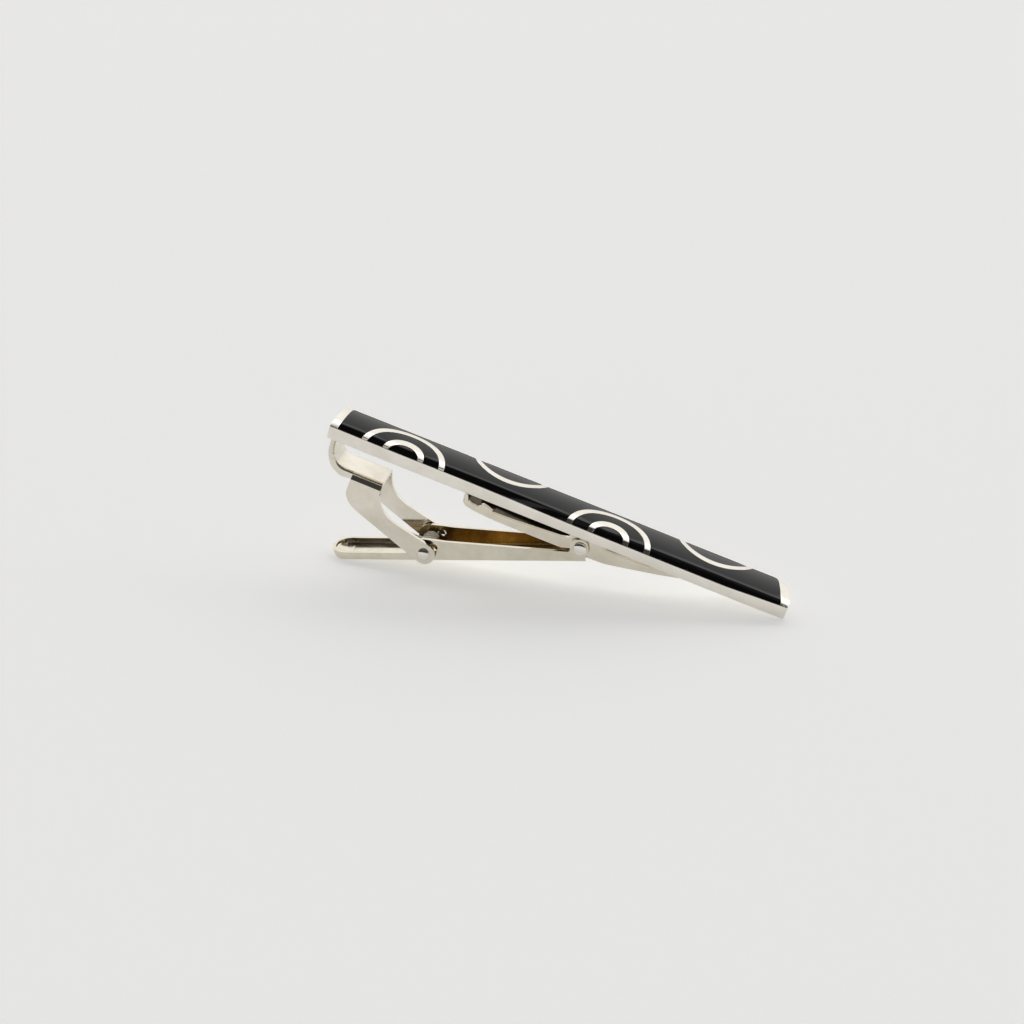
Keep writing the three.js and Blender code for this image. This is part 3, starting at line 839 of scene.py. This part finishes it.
def make_solder():
    """A thin uneven bead round the bracket's foot."""
    rng = random.Random(7)
    half = BRACKET_HALF + 0.12
    left, right = 46.2, 51.2
    middle = (left + right) / 2
    bm = bmesh.new()
    base = round_rect(left, -half, right, half, (0.4,) * 4, 8)
    ripple = [rng.uniform(-0.05, 0.03) for _ in base]
    rows = []
    for d, z in ((0.0, -0.002), (0.05, -0.035), (0.1, -0.07), (0.16, -0.096)):
        ring = []
        for (x, y), w in zip(base, ripple):
            k = d + 0.02 - w * (1 - d / 0.2)
            dx, dy = middle - x, -y
            size = math.hypot(dx, dy)
            ring.append((x + dx / size * k, y + dy / size * k))
        rows.append(add_ring(bm, ring, z))
    for a, b in zip(rows, rows[1:]):
        bridge(bm, a, b)
    fill(bm, rows[0])
    fill(bm, rows[-1])
    bmesh.ops.recalc_face_normals(bm, faces=bm.faces)
    obj = new_object("bracket_solder_bead", bm)
    settle(obj, BAR_TO_ROW, bevel=0)
    return obj


dress(make_solder(), [SOLDER_METAL], "bracket_solder", "bar")


# ---------------------------------------------------------------- jaw
WEB_LEVEL = -3.78  # the outside of the jaw's web, which lies along the bar's back


def jaw_leg_side():
    """A jaw leg from the side, in the bar frame: web end, front edge, eye round the pin, back edge."""
    lower, upper = math.radians(-71.6), math.radians(76.8)
    p = [(4.15, WEB_LEVEL), (4.02, -6.2)]
    p += curve_through(
        [(4.02, -6.2), (4.2, -6.85), (4.6, -7.45), (5.27, -8.02), (6.26, -8.5), (7.45, -8.99)], 6
    )[1:]
    p += arc(*JAW_PIN, 1.42, math.pi - lower, 2 * math.pi + upper, 40)
    p += curve_through(
        [
            (11.2, -8.12), (10.39, -7.82), (9.61, -7.37), (8.87, -6.65), (8.5, -6.0), (8.2, -5.1),
            (8.1, -4.02),
        ],
        6,
    )
    p += [(8.05, WEB_LEVEL)]
    return dedupe(p)


# The strip from its tip to the web, on its outside and its inside.
STRIP_OUT = [
    (0.3, -0.6), (0.3, -1.9), (0.62, -3.05), (1.3, -4.08), (2.08, -4.62), (2.95, -4.9), (4.6, -4.6),
]
STRIP_IN = [
    (0.92, -0.6), (0.95, -1.6), (1.32, -2.7), (1.88, -3.42), (2.6, -3.74), (3.4, -3.772),
    (4.0, -3.779), (4.6, -3.79),
]
STRIP_HALF, STRIP_ROLL, STRIP_SHEET = 2.1, 0.42, 0.38


def make_strip():
    """The curled strip from the web to the tip, with its edges rolled back."""
    outer = [(0.36, -0.13)] + curve_through(STRIP_OUT, 6)
    inner = [(0.62, -0.03), (0.86, -0.15)] + curve_through(STRIP_IN, 6)
    outline = dedupe(outer + inner[::-1])
    strip = prism(outline, "y", -STRIP_HALF, STRIP_HALF, "strip")
    bm = bmesh.new()
    bm.from_mesh(strip.data)
    inner_set = {(round(x, 3), round(z, 3)) for x, z in inner}
    rolled = [
        e
        for e in bm.edges
        if all((round(v.co.x, 3), round(v.co.z, 3)) in inner_set for v in e.verts)
        and abs(e.verts[0].co.y - e.verts[1].co.y) < 1e-6
    ]
    bmesh.ops.bevel(bm, geom=rolled, offset=STRIP_ROLL, segments=8, profile=0.5, affect="EDGES")
    bm.to_mesh(strip.data)
    bm.free()
    back = [(x - 0.02, z + 0.01) for x, z in curve_through(STRIP_IN, 6)]
    shell = []
    for i, (x, z) in enumerate(back):
        a = back[max(i - 1, 0)]
        b = back[min(i + 1, len(back) - 1)]
        dx, dz = b[0] - a[0], b[1] - a[1]
        size = math.hypot(dx, dz)
        shell.append((x + dz / size * STRIP_SHEET, z - dx / size * STRIP_SHEET))
    outside = [(4.0, -6.5), (-1.0, -6.5), (-1.0, -0.5)]
    half = STRIP_HALF - 0.4
    combine(strip, prism(dedupe(shell[:-6] + outside), "y", -half, half), "DIFFERENCE")
    return strip


def make_jaw():
    """Two legs under a rounded web, with the gripping strip joined on."""
    inside = JAW_HALF - JAW_SHEET
    bend = 1.2
    jaw = prism(jaw_leg_side(), "y", -JAW_HALF, JAW_HALF, "jaw_stamping")
    section = round_rect(-JAW_HALF, -20, JAW_HALF, WEB_LEVEL, (SHARP, SHARP, bend, bend), 16)
    combine(jaw, prism(section, "x", 0, 25), "INTERSECT")
    bend -= JAW_SHEET
    section = round_rect(-inside, -20.5, inside, WEB_LEVEL - JAW_SHEET, (SHARP, SHARP, bend, bend), 12)
    combine(jaw, prism(section, "x", -0.5, 25.5), "DIFFERENCE")
    combine(jaw, make_strip(), "UNION")
    bore(jaw, JAW_PIN, JAW_BORE_R, 40)
    clean(jaw)
    settle(jaw, BAR_TO_ROW, bevel=0.17, segments=5)
    return jaw


dress(make_jaw(), [JAW_METAL], "jaw", "jaw")


# ---------------------------------------------------------------- rivets
def make_rivet(name, at, pin_r, dome_r, seat):
    """A pin along Y with a burnished dome and a thin skirt at each end."""
    steps, skirt, lip = 14, 0.03, 0.012
    profile = [(0.0, seat + DOME_HEIGHT)]
    for i in range(1, steps + 1):
        a = i / steps * math.pi / 2
        rise = (DOME_HEIGHT - skirt) * math.cos(a)
        profile.append((dome_r * math.sin(a) ** 0.96, seat + skirt + rise))
    profile += [(dome_r, seat + lip), (dome_r - lip, seat), (pin_r, seat)]
    full = [(r, -y) for r, y in profile] + [(r, y) for r, y in reversed(profile)]
    bm = bmesh.new()
    n = 64
    rings = []
    for r, y in full:
        if r < 1e-6:
            rings.append([bm.verts.new((at[0], y, at[1]))])
            continue
        rings.append([bm.verts.new((at[0] + r * c, y, at[1] + r * s)) for c, s in circle_steps(n)])
    for a, b in zip(rings, rings[1:]):
        for k in range(n):
            m = (k + 1) % n
            if len(a) == 1:
                bm.faces.new((a[0], b[m], b[k]))
            elif len(b) == 1:
                bm.faces.new((a[k], a[m], b[0]))
            else:
                bm.faces.new((a[k], a[m], b[m], b[k]))
    bmesh.ops.recalc_face_normals(bm, faces=bm.faces)
    obj = new_object(name, bm)
    return settle(obj, BAR_TO_ROW, bevel=0)


dress(
    make_rivet("main_rivet_domed", PIN, MAIN_PIN_R, MAIN_DOME_R, ARM_HALF + HEAD_GAP),
    [RIVET_METAL], "main_rivet", "bar",
)
dress(
    make_rivet("jaw_rivet_domed", JAW_PIN, JAW_PIN_R, JAW_DOME_R, JAW_HALF + HEAD_GAP),
    [RIVET_METAL], "jaw_rivet", "arm",
)


# ---------------------------------------------------------------- spring
WIRE_R, COIL_R, COIL_RISE, COIL_TURNS, COIL_HALF = 0.19, 0.85, 0.2, 5, 1.15


def sweep(name, points, r, sides=14):
    """A round wire along the points, closed flat at its ends."""
    pts = [Vector(p) for p in points]
    bm = bmesh.new()
    tangent = (pts[1] - pts[0]).normalized()
    normal = tangent.orthogonal().normalized()
    rings = []
    last = len(pts) - 1
    for i, p in enumerate(pts):
        t = (pts[min(i + 1, last)] - pts[max(i - 1, 0)]).normalized()
        normal = (normal - t * normal.dot(t)).normalized()
        side = t.cross(normal)
        rings.append([bm.verts.new(p + (normal * c + side * s) * r) for c, s in circle_steps(sides)])
    for a, b in zip(rings, rings[1:]):
        bridge(bm, a, b)
    bm.faces.new(rings[0])
    bm.faces.new(rings[-1])
    bmesh.ops.recalc_face_normals(bm, faces=bm.faces)
    return new_object(name, bm)


# Jaw-side leg in the bar frame, up behind the near leg of the jaw to its web.
SPRING_LEG = [(12.0, -9.45), (9.3, -8.7), (7.6, -7.4), (6.8, -5.95), (6.5, -4.65)]


def spring_points():
    """Coil with its pad-side leg, and the jaw-side leg, in the arm frame with the jaw pin at 0."""
    floor = COIL_RISE - COIL_R
    # The pad-side leg runs flat along the web and eases up into the coil.
    count = 9
    first = [
        (-3.6 + 0.38 * i, COIL_HALF, floor - 0.07 * (1 - (i / count) ** 2)) for i in range(count)
    ]
    total = 2 * math.pi * COIL_TURNS + math.pi / 2 + math.radians(66)
    steps = 40 * COIL_TURNS
    coil = []
    for i in range(steps + 1):
        a = -math.pi / 2 + total * i / steps
        y = COIL_HALF - 2 * COIL_HALF * i / steps
        coil.append((COIL_R * math.cos(a), y, COIL_RISE + COIL_R * math.sin(a)))
    end = (coil[-1][0], coil[-1][2])
    marks = [end] + [turn(x - JAW_PIN[0], z - JAW_PIN[1], -ARM_ANGLE) for x, z in SPRING_LEG]
    leg = [(x, -COIL_HALF, z) for x, z in curve_through(marks, 8)]
    return first + coil, [coil[-2]] + leg


PIN_ARM_TO_ROW = BAR_TO_ROW @ ARM_TO_BAR @ Matrix.Translation((JAW_PIN_ARM[0], 0, JAW_PIN_ARM[1]))
_coil, _leg = spring_points()
WIRE_EDGE = {"bevel": 0.04, "segments": 2, "angle": 60}
coil = settle(sweep("jaw_spring_coil", _coil, WIRE_R), PIN_ARM_TO_ROW, **WIRE_EDGE)
dress(coil, [WIRE_METAL], "jaw_spring", "arm")
leg = settle(sweep("jaw_spring_leg", _leg, WIRE_R), PIN_ARM_TO_ROW, **WIRE_EDGE)
leg.data.materials.append(WIRE_METAL)
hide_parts("jaw_spring")
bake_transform(leg)


# ---------------------------------------------------------------- stage, light and camera
def make_floor():
    """A pale table under the clip, in metres, lit from below a little to keep its shadows light."""
    bm = bmesh.new()
    n = 24
    size = 1.6
    marks = [-size + 2 * size * i / n for i in range(n + 1)]
    grid = [[bm.verts.new((x, y, 0)) for x in marks] for y in marks]
    for j in range(n):
        for i in range(n):
            bm.faces.new((grid[j][i], grid[j][i + 1], grid[j + 1][i + 1], grid[j + 1][i]))
    floor = new_object("floor", bm)
    mat, nodes, links, bsdf, coords = material("floor_card")
    bsdf.inputs["Specular IOR Level"].default_value = 0.15
    n1 = noise(nodes, links, coords.outputs["Object"], 900, 4, 0.6)
    card = ramp(nodes, links, n1, [(0.3, (0.785, 0.785, 0.778)), (0.7, (0.80, 0.80, 0.793))])
    links.new(card, bsdf.inputs["Base Color"])
    links.new(card, bsdf.inputs["Emission Color"])
    bsdf.inputs["Emission Strength"].default_value = 0.50
    links.new(spread(nodes, links, n1, 0.6, 0.75), bsdf.inputs["Roughness"])
    floor.data.materials.append(mat)
    return floor


def direction(az, el):
    """Unit vector at an azimuth from +Y towards +X and an elevation, in degrees."""
    a, e = math.radians(az), math.radians(el)
    return Vector((math.sin(a) * math.cos(e), math.cos(a) * math.cos(e), math.sin(e)))


# The room over the clip, from the horizon behind it (0) over the top (90) to the front (180):
# a pale wall with a lamp's strip, a dark ceiling with two more, a pale front. (angle, brightness)
ROOM = [
    (0, 0.90), (24, 1.05), (44, 1.10), (46, 2.2), (50, 2.2), (52, 1.10), (55, 1.0), (57, 0.35),
    (60, 0.05), (77, 0.05), (79, 0.75), (84, 0.75), (86, 0.05), (92, 0.05), (94, 0.30), (97, 0.30),
    (99, 0.05), (157, 0.05), (163, 0.85), (180, 0.75),
]
ROOM_PEAK = 2.5  # the brightness that the top of the curve stands for
# Darker corners of the room: azimuth, elevation, inner and outer half-angle, darkness.
DARK_CORNERS = [(100, 35, 12, 30, 0.8), (-75, 8, 6, 16, 0.75)]


def make_world():
    """A pale room with a dark ceiling for the metal and enamel to mirror."""
    world = bpy.data.worlds.new("room")
    bpy.context.scene.world = world
    world.use_nodes = True
    nodes, links = world.node_tree.nodes, world.node_tree.links
    bg = nodes["Background"]
    coords = nodes.new("ShaderNodeTexCoord")
    split = nodes.new("ShaderNodeSeparateXYZ")
    links.new(coords.outputs["Generated"], split.inputs[0])
    angle = nodes.new("ShaderNodeMath")
    angle.operation = "ARCTAN2"
    links.new(split.outputs["Z"], angle.inputs[0])
    links.new(split.outputs["Y"], angle.inputs[1])
    curve = nodes.new("ShaderNodeFloatCurve")
    part = nodes.new("ShaderNodeMath")
    part.operation = "DIVIDE"
    part.inputs[1].default_value = math.pi
    links.new(angle.outputs["Value"], part.inputs[0])
    links.new(part.outputs["Value"], curve.inputs["Value"])
    points = curve.mapping.curves[0].points
    for k, (deg, level) in enumerate(ROOM):
        place = (deg / 180, level / ROOM_PEAK)
        spot = points[k] if k < 2 else points.new(*place)
        spot.location = place
        spot.handle_type = "VECTOR"
    curve.mapping.update()
    value = curve.outputs["Value"]
    for az, el, inner, outer, dark in DARK_CORNERS:
        dot = nodes.new("ShaderNodeVectorMath")
        dot.operation = "DOT_PRODUCT"
        links.new(coords.outputs["Generated"], dot.inputs[0])
        dot.inputs[1].default_value = direction(az, el)
        m = nodes.new("ShaderNodeMapRange")
        m.interpolation_type = "SMOOTHSTEP"
        m.inputs["From Min"].default_value = math.cos(math.radians(outer))
        m.inputs["From Max"].default_value = math.cos(math.radians(inner))
        m.inputs["To Min"].default_value = 1.0
        m.inputs["To Max"].default_value = 1.0 - dark
        links.new(dot.outputs["Value"], m.inputs["Value"])
        mul = nodes.new("ShaderNodeMath")
        mul.operation = "MULTIPLY"
        links.new(value, mul.inputs[0])
        links.new(m.outputs["Result"], mul.inputs[1])
        value = mul.outputs["Value"]
    tint = nodes.new("ShaderNodeMix")
    tint.data_type = "RGBA"
    tint.inputs["A"].default_value = (0.0, 0.0, 0.0, 1)
    tint.inputs["B"].default_value = (1.0, 0.99, 0.975, 1)
    links.new(value, tint.inputs["Factor"])
    links.new(tint.outputs["Result"], bg.inputs["Color"])
    bg.inputs["Strength"].default_value = ROOM_PEAK


LAMP_COLOUR = (1, 0.995, 0.985)


def area(name, location, size, power):
    """A softbox aimed at the clip that lights it and the floor without showing in the metal."""
    data = bpy.data.lights.new(name, "AREA")
    data.shape = "RECTANGLE"
    data.size, data.size_y = size
    data.energy = power
    data.color = LAMP_COLOUR
    obj = bpy.data.objects.new(name, data)
    obj.location = location
    obj.rotation_euler = (-Vector(location)).to_track_quat("-Z", "Y").to_euler()
    obj.visible_glossy = False
    bpy.context.scene.collection.objects.link(obj)
    return obj


# Camera: azimuth from -Y towards +X, elevation and roll in degrees; distance in metres;
# aim, lens and sensor in millimetres.
VIEW_AZ, VIEW_EL, VIEW_ROLL, VIEW_DIST = 15.243, 28.44, -0.38, 0.39469
VIEW_AIM = (-6.021, 0, 8.591)
LENS, SENSOR = 112.4859, 36


def make_camera():
    az, el, roll = (math.radians(a) for a in (VIEW_AZ, VIEW_EL, VIEW_ROLL))
    aim = Vector(VIEW_AIM) * MM
    back = Vector((math.sin(az) * math.cos(el), -math.cos(az) * math.cos(el), math.sin(el)))
    data = bpy.data.cameras.new("camera")
    data.sensor_width = SENSOR
    data.lens = LENS
    data.clip_start, data.clip_end = 0.01, 20
    obj = bpy.data.objects.new("camera", data)
    level = (-back).to_track_quat("-Z", "Y").to_matrix().to_4x4()
    place = Matrix.Translation(aim + back * VIEW_DIST)
    obj.matrix_world = place @ level @ Matrix.Rotation(roll, 4, "Z")
    bpy.context.scene.collection.objects.link(obj)
    bpy.context.scene.camera = obj


make_floor()
make_world()
area("overhead", (-0.06, 0.02, 0.55), (0.95, 0.85), 0.25)
for _k, _place in enumerate(((-0.50, 0.05), (0.50, 0.05), (0.05, -0.50), (-0.05, 0.50))):
    area(f"side_{_k}", (*_place, 0.34), (0.50, 0.36), 0.12)
make_camera()
bpy.context.scene.view_settings.view_transform = "Standard"
